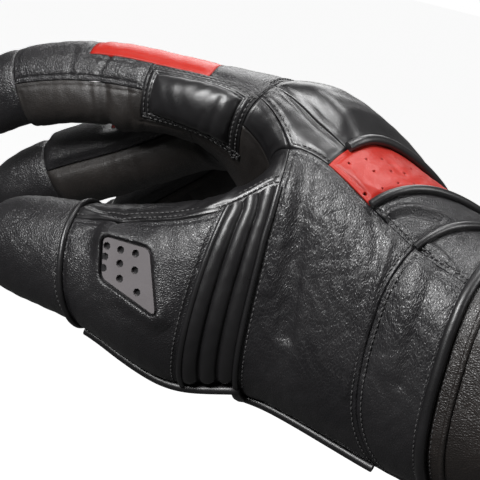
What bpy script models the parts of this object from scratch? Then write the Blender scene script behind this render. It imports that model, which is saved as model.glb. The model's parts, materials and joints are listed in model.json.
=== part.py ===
"""A short leather sport glove for the right hand, shaped round a gripping hand.

The frame: +X runs out of the cuff opening, -X to the finger ends, -Y is the thumb side and
+Z the back of the hand. The origin is the middle of the cuff opening.

The whole outside of the glove is one coarse cage, smoothed once. Its faces are shared out
among the leather panels, and each panel is cut from that skin and given its wall, so that
neighbours meet at a narrow seam.
"""
from math import copysign, cos, pi, radians, sin

import bmesh
import bpy
from mathutils import Vector
from mathutils.bvhtree import BVHTree

for old in list(bpy.data.objects):
    bpy.data.objects.remove(old, do_unlink=True)

# Overall sizes, in metres
CUFF_LENGTH = 0.045
PALM_LENGTH = 0.100
HAND_BREADTH = 0.100
HAND_HEIGHT = 0.100
FINGER_LENGTH = 0.097
THUMB_LENGTH = 0.112

# Leather and trim
LEATHER = 0.0016
SEAM_GAP = 0.0003
PUFF_OF_PATCH = 0.0022
PUFF_OF_GUARD = 0.0075
PUFF_OF_TAB = 0.0015
RIB_HEIGHT = 0.0026
RIB_COUNT = 3
PIPING_RADIUS = 0.0016
WELT_RADIUS = 0.0010
THIN_PIPING_SHIFT = 0.0065
HOLE_RADIUS = 0.00085
TRIM_GAP = 0.0003

# The moulded insert: its outline from the middle of the plate, its thickness and holes.
# The first value runs along -X, the second along +Z.
INSERT_OUTLINE = ((0.0112, 0.0092), (-0.0052, 0.0098), (-0.0125, -0.0095), (0.0085, -0.0035))
INSERT_THICKNESS = 0.0026
INSERT_CORNER = 0.0016
INSERT_HOLE_RADIUS = 0.0013
INSERT_HOLES = (
    (0.0093, 0.0066), (0.0091, 0.0032), (0.0087, -0.0004),
    (0.0043, 0.0068), (0.0035, 0.0026), (0.0023, -0.0020),
    (-0.0010, 0.0072), (-0.0021, 0.0021), (-0.0046, -0.0043),
)
# Where the insert sits on the thumb: a share of the thumb length beyond the split and of
# the hand height
INSERT_PLACE = (-0.325, -0.005)
INSERT_SINK = 0.0004

# The seam of the stretch panel bows back by this much, over these places of the section
SPLIT_BOW = 0.003
BOW_MIDDLE = 187
BOW_REACH = 33
THUMB_FOOT_ANGLE = 238

# The cage stands this much outside the skin that smoothing draws from it
CAGE_SWELL = 1.09
# 2 is an ellipse, more is a squarer section
SQUARENESS = 2.8

# Sections of the hand from the cuff to the finger roots. x is a share of the cuff length
# (first three rows) or of the palm length behind it, breadth is half the section's as a
# share of the hand breadth, and top and low are shares of the hand height. Each has a
# value at the thumb side, in the middle and at the little finger side. The lean carries
# the palm side forwards, as a share of the palm length.
HAND_ROWS = (
    # name          x thumb, mid, little    breadth  top thumb, mid, little  low thumb, mid, little  lean
    ("cuff_end",    (0.00, 0.00, 0.00),     0.47,    (0.34, 0.36, 0.33),     (-0.37, -0.38, -0.33),  0.0),
    ("cuff_mid",    (-0.52, -0.52, -0.52),  0.46,    (0.34, 0.35, 0.30),     (-0.41, -0.42, -0.34),  0.0),
    ("cuff_seam",   (-1.00, -1.00, -1.00),  0.455,   (0.36, 0.35, 0.26),     (-0.46, -0.47, -0.36),  0.0),
    ("mid_seam",    (-0.27, -0.05, -0.06),  0.462,   (0.45, 0.370, 0.26),    (-0.45, -0.44, -0.30),  0.0),
    ("hand_mid",    (-0.44, -0.10, -0.12),  0.475,   (0.57, 0.405, 0.28),    (-0.45, -0.39, -0.20),  0.0),
    ("guard_edge",  (-0.57, -0.47, -0.38),  0.487,   (0.69, 0.525, 0.33),    (-0.45, -0.285, -0.045), 0.0),
    ("thumb_split", (-0.64, -0.56, -0.46),  0.49,    (0.69, 0.53, 0.34),     (-0.45, -0.26, 0.00),   0.0),
    ("knuckles",    (-0.81, -0.82, -0.65),  0.50,    (0.72, 0.66, 0.46),     (0.40, 0.28, 0.12),     0.05),
    ("roots",       (-0.98, -1.00, -0.78),  0.50,    (0.695, 0.64, 0.38),    (0.410, 0.33, 0.06),    0.02),
)

# Places round a section, in degrees: 0 is the little finger side, 90 the back of the
# hand, 180 the thumb side and 270 the palm
BACK_ANGLES = (142, 128, 116, 103, 90, 77, 64, 52, 38)
PALM_ANGLES = (333, 318, 304, 290, 276, 264)
FULL_ANGLES = BACK_ANGLES + (0,) + PALM_ANGLES + (252, 238, 221, 206, 193, 180, 167, 155)
KNUCKLE_ANGLES = BACK_ANGLES + (0, 322, 309, 298, 287, 277, 268, 259, 245, 225, 180)
ROOT_ANGLES = BACK_ANGLES + (0, 322, 308, 296, 284, 272, 261, 250, 237, 220, 180)
FINGER_ANGLES = (135, 90, 45, 0, -45, -90, -135, 180)
THUMB_ANGLES = (100, 130, 158, 185, 212, 238, 264, 290, 318, 346, 20, 60)

# The crotch between thumb and palm: x as a share of the palm length behind the cuff, y of
# the hand breadth and z of the hand height, from the palm up to the index finger
WEB_ROWS = (
    (-0.60, -0.09, 0.01),
    (-0.66, -0.14, 0.22),
    (-0.755, -0.33, 0.415),
)

# Fingers: three lengths as shares of the finger length, breadth as a share of the hand
# breadth, height as a share of the hand height, how far each joint is bent and the spread
FINGER_ROWS = (
    # name     lengths              breadth height  bends in degrees  spread
    ("index",  (0.39, 0.34, 0.27),  0.232,  0.275,  (2, 16, 44),      2),
    ("middle", (0.42, 0.34, 0.28),  0.230,  0.255,  (33, 27, 40),     2),
    ("ring",   (0.40, 0.32, 0.26),  0.222,  0.235,  (38, 42, 50),     -1),
    ("little", (0.32, 0.24, 0.22),  0.205,  0.210,  (40, 44, 50),     -4),
)

# Thumb: x as a share of the thumb length beyond the split, then the middle's y and half
# depth as shares of the hand breadth, the middle's z, half height and lean as shares of
# the hand height
THUMB_ROWS = (
    # x      y       depth  z       height lean
    (-0.13, -0.440, 0.172, 0.000,  0.350, -0.04),
    (-0.26, -0.445, 0.195, -0.030, 0.290, -0.02),
    (-0.39, -0.455, 0.180, -0.050, 0.245, 0.02),
    (-0.53, -0.460, 0.165, -0.050, 0.190, 0.05),
    (-0.73, -0.455, 0.160, -0.058, 0.180, 0.03),
    (-0.92, -0.445, 0.125, -0.085, 0.135, 0.00),
)


def across(values, s):
    """The value at s, -1 at the thumb side, 0 in the middle and 1 at the little finger."""
    thumb, middle, little = values
    return middle + (little - thumb) / 2 * s + ((little + thumb) / 2 - middle) * s * s


def round_share(value, squareness):
    """A sine or cosine pushed outwards, for a section squarer than an ellipse."""
    return copysign(abs(value) ** (2 / squareness), value)


def row_x(name, share):
    """Where a share of the cuff or palm length lies along X."""
    if name.startswith("cuff"):
        return share * CUFF_LENGTH
    return -CUFF_LENGTH + share * PALM_LENGTH


def bow_at(angle):
    """How far back the seam between side panel and thumb bows, round the thumb side."""
    return SPLIT_BOW * (1 - ((angle - BOW_MIDDLE) / BOW_REACH) ** 2)


def hand_ring(row, angles):
    """The points of one section of the hand."""
    name, places, breadth, tops, lows, lean = row
    points = []
    for angle in angles:
        s = round_share(cos(radians(angle)), SQUARENESS)
        rise = round_share(sin(radians(angle)), SQUARENESS)
        top = across(tops, s) * HAND_HEIGHT
        low = across(lows, s) * HAND_HEIGHT
        x = row_x(name, across(places, s)) + lean * rise * PALM_LENGTH
        if name == "thumb_split" and BACK_ANGLES[0] <= angle <= THUMB_FOOT_ANGLE:
            x += bow_at(angle)
        points.append(Vector((x, s * breadth * HAND_BREADTH, (top + low) / 2 + (top - low) / 2 * rise)))
    return points


def tube_ring(middle, side, up, half_breadth, half_height, angles):
    """The points of one section of a finger."""
    points = []
    for angle in angles:
        reach = side * half_breadth * cos(radians(angle)) + up * half_height * sin(radians(angle))
        points.append(middle + reach * CAGE_SWELL)
    return points


class Cage:
    """The coarse outside of the glove, with a panel name for every face."""

    def __init__(self):
        self.mesh = bmesh.new()
        self.panels = []

    def add(self, points):
        return [self.mesh.verts.new(point) for point in points]

    def face(self, verts, panel):
        if panel not in self.panels:
            self.panels.append(panel)
        self.mesh.faces.new(verts).material_index = self.panels.index(panel)

    def band(self, first, second, panel_at):
        """Faces between two closed rows of points with as many points each."""
        count = len(first)
        for place in range(count):
            after = (place + 1) % count
            self.face((first[place], first[after], second[after], second[place]), panel_at(place))


cage = Cage()
rows = {row[0]: row for row in HAND_ROWS}
full = {name: cage.add(hand_ring(rows[name], FULL_ANGLES))
        for name in ("cuff_end", "cuff_mid", "cuff_seam", "mid_seam", "hand_mid", "guard_edge", "thumb_split")}

# Numbers of the places on a full section, in the order of FULL_ANGLES
LAST_BACK = 8
WEB_FOOT = 16
LAST_THUMB = 23


def full_panel(back, side, outer, palm):
    """Shares the places of a full section among four panels."""
    def panel_at(place):
        if place < LAST_BACK:
            return back
        if place <= LAST_BACK + 1:
            return outer
        if place <= WEB_FOOT:
            return palm
        return side
    return panel_at


cage.band(full["cuff_end"], full["cuff_mid"], full_panel("cuff", "cuff", "cuff", "cuff"))
CLOSURE_PLACES = (5, 6, 7, 8, 9)
cage.band(full["cuff_mid"], full["cuff_seam"],
          lambda place: "closure_tab" if place in CLOSURE_PLACES else "cuff")
cage.band(full["cuff_seam"], full["mid_seam"],
          full_panel("wrist_strap", "wrist_panel", "outer_side_panel", "palm_panel"))
cage.band(full["mid_seam"], full["hand_mid"],
          full_panel("strap_panel", "side_panel", "outer_side_panel", "palm_panel"))
cage.band(full["hand_mid"], full["guard_edge"],
          full_panel("red_back_panel", "side_panel", "outer_side_panel", "palm_panel"))
beyond_guard_edge = full_panel("knuckle_guard", "side_panel", "outer_side_panel", "palm_panel")
cage.band(full["guard_edge"], full["thumb_split"],
          lambda place: "guard_strip" if place == 0 else beyond_guard_edge(place))

# From the split on, the back of the hand and the palm go to the knuckles
split = full["thumb_split"]
web = [split[WEB_FOOT]] + cage.add(
    [Vector((row_x("palm", x), y * HAND_BREADTH, z * HAND_HEIGHT)) for x, y, z in WEB_ROWS])
hand_split = split[:WEB_FOOT] + web
knuckles = cage.add(hand_ring(rows["knuckles"], KNUCKLE_ANGLES))
roots = cage.add(hand_ring(rows["roots"], ROOT_ANGLES))
FIRST_PALM = 10
PATCH_PLACES = (18, 19)


def knuckle_panel(place):
    """Shares the places between the split and the knuckles."""
    if place == 0:
        return "guard_strip"
    if place < LAST_BACK:
        return "knuckle_guard"
    if place <= LAST_BACK + 1:
        return "outer_side_panel"
    if place < PATCH_PLACES[0] + 1:
        return "palm_panel"
    return "index_side_panel"


def root_panel(place):
    """Shares the places between the knuckles and the finger roots."""
    if place in PATCH_PLACES:
        return "knuckle_patch"
    if place < LAST_BACK:
        return "finger_back_panel"
    return knuckle_panel(place)


cage.band(hand_split, knuckles, knuckle_panel)
cage.band(knuckles, roots, root_panel)

# The webs between the fingers
web_mids = {}
for place in (2, 4, 6):
    top = roots[place].co
    low = roots[FIRST_PALM + 8 - place].co
    web_mids[place] = cage.mesh.verts.new((top + low) / 2 + Vector((0.03 * PALM_LENGTH, 0, 0)))
web_mids[0] = roots[19]
web_mids[8] = roots[9]


# Bands of faces from the root of a finger: the accent's, and the first of the tip
ACCENT_BANDS = 2
TIP_BAND = 3


def finger(number, row):
    """One finger, from its root to its closed end."""
    name, lengths, breadth, height, bends, spread = row
    back = 2 * number
    palm = FIRST_PALM + 8 - back
    first = [roots[back], roots[back + 1], roots[back + 2], web_mids[back + 2],
             roots[palm - 2], roots[palm - 1], roots[palm], web_mids[back]]
    middle = sum((vert.co for vert in first), Vector()) / len(first)
    side = Vector((-sin(radians(spread)), cos(radians(spread)), 0))
    breadth = breadth * HAND_BREADTH / 2
    height = height * HAND_HEIGHT / 2
    headings = []
    for bend in bends:
        flat = Vector((-cos(radians(spread)), -sin(radians(spread)), 0))
        headings.append(flat * cos(radians(bend)) + Vector((0, 0, -1)) * sin(radians(bend)))
    # Share of each length, and the section's size there
    stations = (
        ((0.50, 0.95), (1.00, 1.00)),
        ((1.00, 0.96),),
        ((0.55, 0.92), (0.93, 0.66)),
    )
    ends = []
    start = middle
    for bone, stops in enumerate(stations):
        reach = lengths[bone] * FINGER_LENGTH
        for share, size in stops:
            heading = headings[bone]
            if share == 1.00:
                heading = (headings[bone] + headings[bone + 1]).normalized()
            up = heading.cross(side).normalized()
            if up.z < 0:
                up = -up
            spot = start + headings[bone] * reach * share
            ends.append(cage.add(tube_ring(spot, side, up, breadth * size, height * size, FINGER_ANGLES)))
        start = start + headings[bone] * reach

    def finger_panel(band):
        def panel_at(place):
            if band == 0 and number == 0 and place in (6, 7):
                return "knuckle_patch"
            if band >= TIP_BAND:
                return name + "_tip"
            if place in (0, 1) and band < ACCENT_BANDS:
                return name + "_accent"
            if place in (3, 4, 5, 6):
                return name + "_front"
            return name + "_back"
        return panel_at

    last = first
    for band, ring in enumerate(ends):
        cage.band(last, ring, finger_panel(band))
        last = ring
    cage.face(last, name + "_tip")


for number, row in enumerate(FINGER_ROWS):
    finger(number, row)

# The thumb starts from the thumb side of the split and the web
thumb_first = [split[0]] + split[LAST_THUMB:WEB_FOOT:-1] + web
THUMB_WEB_PLACES = (0, 11)
THUMB_INNER_PLACES = (7, 8, 9, 10)


def thumb_panel(band):
    """Shares the places round the thumb."""
    def panel_at(place):
        if band >= 4:
            return "thumb_tip"
        if place in THUMB_WEB_PLACES:
            return "web_patch"
        if place in THUMB_INNER_PLACES or place == 6:
            return "thumb_inner"
        if band == 0:
            return "stretch_panel"
        return "thumb_middle"
    return panel_at


last = thumb_first
for band, (x, y, depth, z, height, lean) in enumerate(THUMB_ROWS):
    middle = Vector((row_x("palm", -0.64) + x * THUMB_LENGTH, y * HAND_BREADTH, z * HAND_HEIGHT))
    ring = []
    for angle in THUMB_ANGLES:
        rise = sin(radians(angle))
        point = middle + Vector((-lean * HAND_HEIGHT * rise, depth * HAND_BREADTH * cos(radians(angle)),
                                 height * HAND_HEIGHT * rise)) * 1.04
        ring.append(point)
    ring = cage.add(ring)
    cage.band(last, ring, thumb_panel(band))
    last = ring
cage.face(last, "thumb_tip")

bmesh.ops.recalc_face_normals(cage.mesh, faces=cage.mesh.faces)

# The smoothed skin, from which every panel is cut
helpers = bpy.data.collections.new("helpers")
bpy.context.scene.collection.children.link(helpers)
glove = bpy.data.collections.new("glove")
bpy.context.scene.collection.children.link(glove)


def add_helper(name, mesh):
    """A cage or cutter, which is no part of the glove."""
    helper = bpy.data.objects.new(name, mesh)
    helper.hide_render = True
    helper.display_type = "WIRE"
    helpers.objects.link(helper)
    return helper


cage_mesh = bpy.data.meshes.new("cage")
cage.mesh.to_mesh(cage_mesh)
cage_object = add_helper("cage", cage_mesh)
smoothing = cage_object.modifiers.new("smoothing", "SUBSURF")
smoothing.levels = 1
smoothing.render_levels = 1
skin_mesh = bpy.data.meshes.new_from_object(
    cage_object.evaluated_get(bpy.context.evaluated_depsgraph_get()))
skin_tree = BVHTree.FromPolygons([vert.co for vert in skin_mesh.vertices],
                                 [list(face.vertices) for face in skin_mesh.polygons])


def leather_material(name, colour, roughness, metallic=0.0):
    """A plain finish for one kind of part."""
    made = bpy.data.materials.new(name)
    made.use_nodes = True
    shader = made.node_tree.nodes["Principled BSDF"]
    shader.inputs["Base Color"].default_value = (*colour, 1)
    shader.inputs["Roughness"].default_value = roughness
    shader.inputs["Metallic"].default_value = metallic
    made.diffuse_color = (*colour, 1)
    return made


BLACK = (0.012, 0.012, 0.014)
SOFT_BLACK = (0.018, 0.016, 0.016)
RED = (0.45, 0.017, 0.007)
GREY = (0.095, 0.087, 0.090)
INSERT_NAME = "thumb_insert"


def finish_for(name):
    """Each node's own finish: red or black leather, trim or the moulded insert."""
    if "red" in name or "accent" in name:
        return leather_material(name, RED, 0.42)
    if name == INSERT_NAME:
        return leather_material(name, GREY, 0.55)
    if "piping" in name or "welt" in name or "binding" in name or "roll" in name:
        return leather_material(name, BLACK, 0.35)
    if "cuff" in name or "inner" in name or "palm" in name:
        return leather_material(name, SOFT_BLACK, 0.6)
    return leather_material(name, BLACK, 0.42)


def add_part(name, mesh):
    """One named piece of the glove."""
    mesh.materials.clear()
    mesh.materials.append(finish_for(name))
    mesh.polygons.foreach_set("material_index", [0] * len(mesh.polygons))
    mesh.shade_smooth()
    mesh.set_sharp_from_angle(angle=radians(50))
    part = bpy.data.objects.new(name, mesh)
    glove.objects.link(part)
    return part


def rim_moves(mesh, gap):
    """How far each rim point moves in, so that neighbouring panels leave a gap."""
    moves = {}
    for edge in mesh.edges:
        if len(edge.link_faces) != 1:
            continue
        face = edge.link_faces[0]
        along = (edge.verts[1].co - edge.verts[0].co).normalized()
        inward = face.normal.cross(along)
        if inward.dot(face.calc_center_median() - edge.verts[0].co) < 0:
            inward = -inward
        for vert in edge.verts:
            moves.setdefault(vert, []).append(inward)
    steps = {}
    for vert, inwards in moves.items():
        mean = sum(inwards, Vector()).normalized()
        steps[vert] = mean * gap / max(0.5, mean.dot(inwards[0]))
    return steps


def open_panel(names):
    """The faces of one panel, cut from the skin, each point knowing which way is out."""
    mesh = bmesh.new()
    mesh.from_mesh(skin_mesh)
    mesh.normal_update()
    outward = mesh.verts.layers.float_vector.new("outward")
    number = mesh.verts.layers.int.new("number")
    for vert in mesh.verts:
        vert[outward] = vert.normal
        vert[number] = vert.index
    wanted = [cage.panels.index(name) for name in names]
    bmesh.ops.delete(mesh, geom=[face for face in mesh.faces if face.material_index not in wanted],
                     context="FACES")
    return mesh


def split_rim(mesh, inner):
    """Splits each face across the wall along the same line as its neighbour's in the seam."""
    number = mesh.verts.layers.int["number"]
    for face in list(mesh.faces):
        inside = [vert for vert in face.verts if vert in inner]
        if len(face.verts) != 4 or len(inside) != 2:
            continue
        outside = [vert for vert in face.verts if vert not in inner]
        low = min(outside, key=lambda vert: (vert[number], vert.co.x))
        partner = next(vert for vert in inside if not any(vert in edge.verts for edge in low.link_edges))
        bmesh.utils.face_split(face, low, partner)


def give_wall(mesh, raise_by, wall=LEATHER):
    """Closes an open panel with an inner face, its outer face raised at each point."""
    outward = mesh.verts.layers.float_vector["outward"]
    for vert, step in rim_moves(mesh, SEAM_GAP / 2).items():
        vert.co += step
    inner = {vert: vert.co - Vector(vert[outward]).normalized() * wall for vert in mesh.verts}
    for vert in mesh.verts:
        vert.co += Vector(vert[outward]).normalized() * raise_by(vert)
    faces = list(mesh.faces)
    bmesh.ops.extrude_face_region(mesh, geom=faces, use_keep_orig=True)
    for vert, place in inner.items():
        vert.co = place
    bmesh.ops.reverse_faces(mesh, faces=faces)
    split_rim(mesh, inner)
    bmesh.ops.recalc_face_normals(mesh, faces=mesh.faces)


def to_part(name, mesh):
    """Turns a finished panel into a named piece."""
    data = bpy.data.meshes.new(name)
    mesh.to_mesh(data)
    mesh.free()
    return add_part(name, data)


def flat(vert):
    """A panel that is level with the skin."""
    return 0.0


def padded(puff):
    """A panel that stands out everywhere but at its rim."""
    def raise_by(vert):
        return 0.0 if vert.is_boundary else puff
    return raise_by


def panel(name, raise_by=flat):
    """One leather panel with its wall."""
    mesh = open_panel([name])
    give_wall(mesh, raise_by)
    return to_part(name, mesh)


PUFFS = {"knuckle_patch": PUFF_OF_PATCH, "knuckle_guard": PUFF_OF_GUARD, "closure_tab": PUFF_OF_TAB}
for name in cage.panels:
    if name != "stretch_panel":
        panel(name, padded(PUFFS[name]) if name in PUFFS else flat)


def panel_points(name):
    """The numbers of the skin's points that touch a panel."""
    wanted = cage.panels.index(name)
    return {number for face in skin_mesh.polygons if face.material_index == wanted
            for number in face.vertices}


# The stretch panel: ribs that run across it from the side panel to the thumb
RIB_STEPS = 4
HALF_STEPS = (RIB_COUNT * RIB_STEPS + 2) // 2
stretch = open_panel(["stretch_panel"])
rear_points = panel_points("side_panel")
front_points = panel_points("thumb_middle")
skin_numbers = {tuple(round(value, 6) for value in vert.co): vert.index for vert in skin_mesh.vertices}
share = stretch.verts.layers.float.new("share")
for vert in stretch.verts:
    number = skin_numbers[tuple(round(value, 6) for value in vert.co)]
    vert[share] = 0.0 if number in rear_points else 1.0 if number in front_points else 0.5
crossing = [edge for edge in stretch.edges if abs(edge.verts[0][share] - edge.verts[1][share]) > 0.1]
bmesh.ops.subdivide_edges(stretch, edges=crossing, cuts=HALF_STEPS - 1)


def rib_height(vert):
    """The ribs' outline across the stretch panel. They run out at its rim."""
    if vert.is_boundary:
        return 0.0
    steps = RIB_COUNT * RIB_STEPS
    place = (vert[share] * (steps + 2) - 1) / steps
    if place <= 0 or place >= 1:
        return 0.0
    return RIB_HEIGHT * abs(sin(pi * RIB_COUNT * place))


give_wall(stretch, rib_height)
to_part("stretch_panel", stretch)


def seam_path(first, second):
    """The skin's points along the seam between two groups of panels, in order."""
    firsts = {cage.panels.index(name) for name in first}
    seconds = {cage.panels.index(name) for name in second}
    mesh = bmesh.new()
    mesh.from_mesh(skin_mesh)
    mesh.normal_update()
    neighbours = {}
    for edge in mesh.edges:
        owners = [face.material_index for face in edge.link_faces]
        if len(owners) == 2 and (owners[0] in firsts and owners[1] in seconds
                                 or owners[1] in firsts and owners[0] in seconds):
            for vert in edge.verts:
                neighbours.setdefault(vert, []).append(edge.other_vert(vert))
    ends = [vert for vert, others in neighbours.items() if len(others) == 1]
    here = ends[0] if ends else next(iter(neighbours))
    order = [here]
    before = None
    while True:
        onward = [vert for vert in neighbours[here] if vert is not before and vert not in order]
        if not onward:
            break
        before = here
        here = onward[0]
        order.append(here)
    path = [(vert.co.copy(), vert.normal.copy()) for vert in order]
    mesh.free()
    return path, not ends


def shorten(points, start, end):
    """Takes a length off each end of a path."""
    for cut in (start, end):
        left = cut
        while left > 0:
            step = (points[1] - points[0]).length
            if step > left:
                points[0] = points[0].lerp(points[1], left / step)
                left = 0
            else:
                left -= step
                points = points[1:]
        points = points[::-1]
    return points


def tube(name, points, radius, closed):
    """A round piping along a path. A thin one has fewer sides."""
    curve = bpy.data.curves.new(name, "CURVE")
    curve.dimensions = "3D"
    curve.bevel_depth = radius
    curve.bevel_resolution = 1 if radius > WELT_RADIUS else 0
    curve.use_fill_caps = not closed
    spline = curve.splines.new("POLY")
    spline.points.add(len(points) - 1)
    for spot, point in zip(spline.points, points):
        spot.co = (*point, 1)
    spline.use_cyclic_u = closed
    curve.materials.append(finish_for(name))
    piece = bpy.data.objects.new(name, curve)
    glove.objects.link(piece)


def piping(name, first, second, radius, start=0.0, end=0.0):
    """A piping sewn on a seam: it stands on the skin with the trim gap under it."""
    path, closed = seam_path(first, second)
    points = [place + out * (radius + TRIM_GAP) for place, out in path]
    tube(name, points if closed else shorten(points, start, end), radius, closed)


HAND_PANELS = ("wrist_strap", "wrist_panel", "outer_side_panel", "palm_panel")
THUMB_PANELS = ("thumb_middle", "thumb_inner", "web_patch")
CROSSING = 2 * (PIPING_RADIUS + TRIM_GAP)
piping("cuff_piping", ("cuff", "closure_tab"), HAND_PANELS, PIPING_RADIUS)
piping("thumb_welt", ("thumb_tip",), THUMB_PANELS, WELT_RADIUS)
piping("palm_edge_piping", ("side_panel", "stretch_panel", "thumb_middle"),
       ("palm_panel", "thumb_inner"), PIPING_RADIUS, CROSSING, CROSSING)
piping("stretch_welt_rear", ("stretch_panel",), ("side_panel",), WELT_RADIUS, CROSSING, CROSSING)
piping("stretch_welt_front", ("stretch_panel",), ("thumb_middle",), WELT_RADIUS, CROSSING, CROSSING)
piping("strap_binding", ("strap_panel",), ("red_back_panel",), PIPING_RADIUS)
piping("strap_binding_low", ("strap_panel",), ("wrist_strap",), PIPING_RADIUS)
piping("guard_roll", ("knuckle_guard",), ("red_back_panel",), WELT_RADIUS, CROSSING, CROSSING)


def on_skin(x, y, z, heading):
    """Where a line through a point meets the skin, with the skin's outward direction."""
    away = 0.2
    start = Vector((x, y, z)) - heading * away
    place, out, face, distance = skin_tree.ray_cast(start, heading)
    return place, out


def prism(outline, place, across_way, up_way, out, low, high, grow=0.0):
    """A closed block with a flat outline, between two heights over its place."""
    middle = sum((Vector(point) for point in outline), Vector((0, 0))) / len(outline)
    mesh = bmesh.new()
    ring = []
    for point in outline:
        spot = Vector(point)
        spot += (spot - middle).normalized() * grow
        ring.append(mesh.verts.new(place + across_way * spot.x + up_way * spot.y + out * low))
    base = mesh.faces.new(ring)
    top = bmesh.ops.extrude_face_region(mesh, geom=[base], use_keep_orig=True)
    rise = out * (high - low)
    bmesh.ops.translate(mesh, vec=rise, verts=[item for item in top["geom"] if isinstance(item, bmesh.types.BMVert)])
    bmesh.ops.recalc_face_normals(mesh, faces=mesh.faces)
    return mesh


def round_corners(mesh, out, radius, segments=2):
    """Rounds the edges that run along the block's own height."""
    edges = [edge for edge in mesh.edges
             if abs((edge.verts[1].co - edge.verts[0].co).normalized().dot(out)) > 0.9]
    bmesh.ops.bevel(mesh, geom=edges, offset=radius, affect="EDGES", segments=segments,
                    profile=0.5, material=-1, clamp_overlap=True)


def cut(part, cutter_name, mesh):
    """Cuts a block out of a piece."""
    data = bpy.data.meshes.new(cutter_name)
    mesh.to_mesh(data)
    mesh.free()
    cutter = add_helper(cutter_name, data)
    subtract = part.modifiers.new(cutter_name, "BOOLEAN")
    subtract.operation = "DIFFERENCE"
    subtract.solver = "EXACT"
    subtract.object = cutter


def pegs(spots, radius, reach, sides):
    """Closed round cutters in one mesh: each spot is a place and its outward direction."""
    mesh = bmesh.new()
    for place, out in spots:
        turn = Vector((0, 0, 1)).rotation_difference(out).to_matrix().to_4x4()
        turn.translation = place
        bmesh.ops.create_cone(mesh, cap_ends=True, segments=sides, radius1=radius, radius2=radius,
                              depth=2 * reach, matrix=turn)
    return mesh


# A second, thin piping beside the first, which ends at the closure tab
cuff_loop, closed = seam_path(("cuff", "closure_tab"), HAND_PANELS)
cuff_middle = (HAND_ROWS[1][3][1] + HAND_ROWS[1][4][1]) / 2 * HAND_HEIGHT
tab_index = cage.panels.index("closure_tab")
thin_loop = []
on_tab = []
for place, out in cuff_loop:
    heading = -Vector((0, out.y, out.z)).normalized()
    start = Vector((place.x + THIN_PIPING_SHIFT, place.y, place.z)) - heading * HAND_HEIGHT / 2
    spot, facing, face, distance = skin_tree.ray_cast(start, heading)
    thin_loop.append(spot + facing * (WELT_RADIUS + 2 * TRIM_GAP))
    on_tab.append(skin_mesh.polygons[face].material_index == tab_index)
first = next(place for place in range(len(on_tab)) if on_tab[place - 1] and not on_tab[place])
thin_loop = thin_loop[first:] + thin_loop[:first]
on_tab = on_tab[first:] + on_tab[:first]
thin_path = [spot for spot, covered in zip(thin_loop, on_tab) if not covered]
tube("cuff_piping_thin", shorten(thin_path, CROSSING, CROSSING), WELT_RADIUS, False)

# Every second place of the red panel is pierced
red_faces = [face for face in skin_mesh.polygons
             if face.material_index == cage.panels.index("red_back_panel")]
pierced = [(face.center.copy(), face.normal.copy()) for face in red_faces[::2]]
cut(bpy.data.objects["red_back_panel"], "red_hole_cutter", pegs(pierced, HOLE_RADIUS, 2 * LEATHER, 6))

insert_place, insert_out = on_skin(row_x("palm", -0.64) + INSERT_PLACE[0] * THUMB_LENGTH, 0,
                                   INSERT_PLACE[1] * HAND_HEIGHT, Vector((0, 1, 0)))
insert_across = Vector((0, 0, 1)).cross(insert_out).normalized()
if insert_across.x > 0:
    insert_across = -insert_across
insert_up = insert_out.cross(insert_across).normalized()
if insert_up.z < 0:
    insert_up = -insert_up
insert_low = -INSERT_SINK - INSERT_THICKNESS
plate = prism(INSERT_OUTLINE, insert_place, insert_across, insert_up, insert_out, insert_low, -INSERT_SINK)
round_corners(plate, insert_out, INSERT_CORNER)
plate_part = to_part(INSERT_NAME, plate)
holes = [(insert_place + insert_across * x + insert_up * z, insert_out) for x, z in INSERT_HOLES]
cut(plate_part, "insert_hole_cutter", pegs(holes, INSERT_HOLE_RADIUS, 3 * INSERT_THICKNESS, 8))
opening = prism(INSERT_OUTLINE, insert_place, insert_across, insert_up, insert_out,
                -4 * INSERT_THICKNESS, 4 * INSERT_THICKNESS, 1.6 * SEAM_GAP)
round_corners(opening, insert_out, INSERT_CORNER)
cut(bpy.data.objects["thumb_middle"], "insert_opening_cutter", opening)
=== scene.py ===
"""A short leather sport glove for the right hand, held in the air in the shape of a grip.

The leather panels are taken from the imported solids: their outsides are joined into one
skin, smoothed, and cut apart again along the seams, so that each panel lies where the
frame has it.
"""
import json
from math import exp, pi, sin

import bmesh
import bpy
import numpy as np
from mathutils import Matrix, Vector
from mathutils.bvhtree import BVHTree
from mathutils.geometry import convex_hull_2d
from mathutils.kdtree import KDTree

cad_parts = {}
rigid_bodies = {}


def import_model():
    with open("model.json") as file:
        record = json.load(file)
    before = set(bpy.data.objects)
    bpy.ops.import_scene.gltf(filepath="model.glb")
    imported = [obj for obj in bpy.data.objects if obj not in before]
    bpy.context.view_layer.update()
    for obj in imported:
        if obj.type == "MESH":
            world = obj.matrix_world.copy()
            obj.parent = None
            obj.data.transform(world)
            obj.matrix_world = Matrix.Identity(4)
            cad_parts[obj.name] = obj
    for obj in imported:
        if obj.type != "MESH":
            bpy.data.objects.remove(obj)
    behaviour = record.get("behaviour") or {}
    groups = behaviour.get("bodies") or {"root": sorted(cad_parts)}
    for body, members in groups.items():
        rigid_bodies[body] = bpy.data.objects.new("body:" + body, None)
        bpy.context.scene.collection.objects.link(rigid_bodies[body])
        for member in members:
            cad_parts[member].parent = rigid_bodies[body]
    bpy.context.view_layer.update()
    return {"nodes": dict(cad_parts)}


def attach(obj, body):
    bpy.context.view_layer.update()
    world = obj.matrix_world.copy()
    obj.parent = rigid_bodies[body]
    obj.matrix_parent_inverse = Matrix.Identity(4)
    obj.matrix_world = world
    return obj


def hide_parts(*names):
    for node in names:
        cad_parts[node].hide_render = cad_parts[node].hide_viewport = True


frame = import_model()

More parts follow.
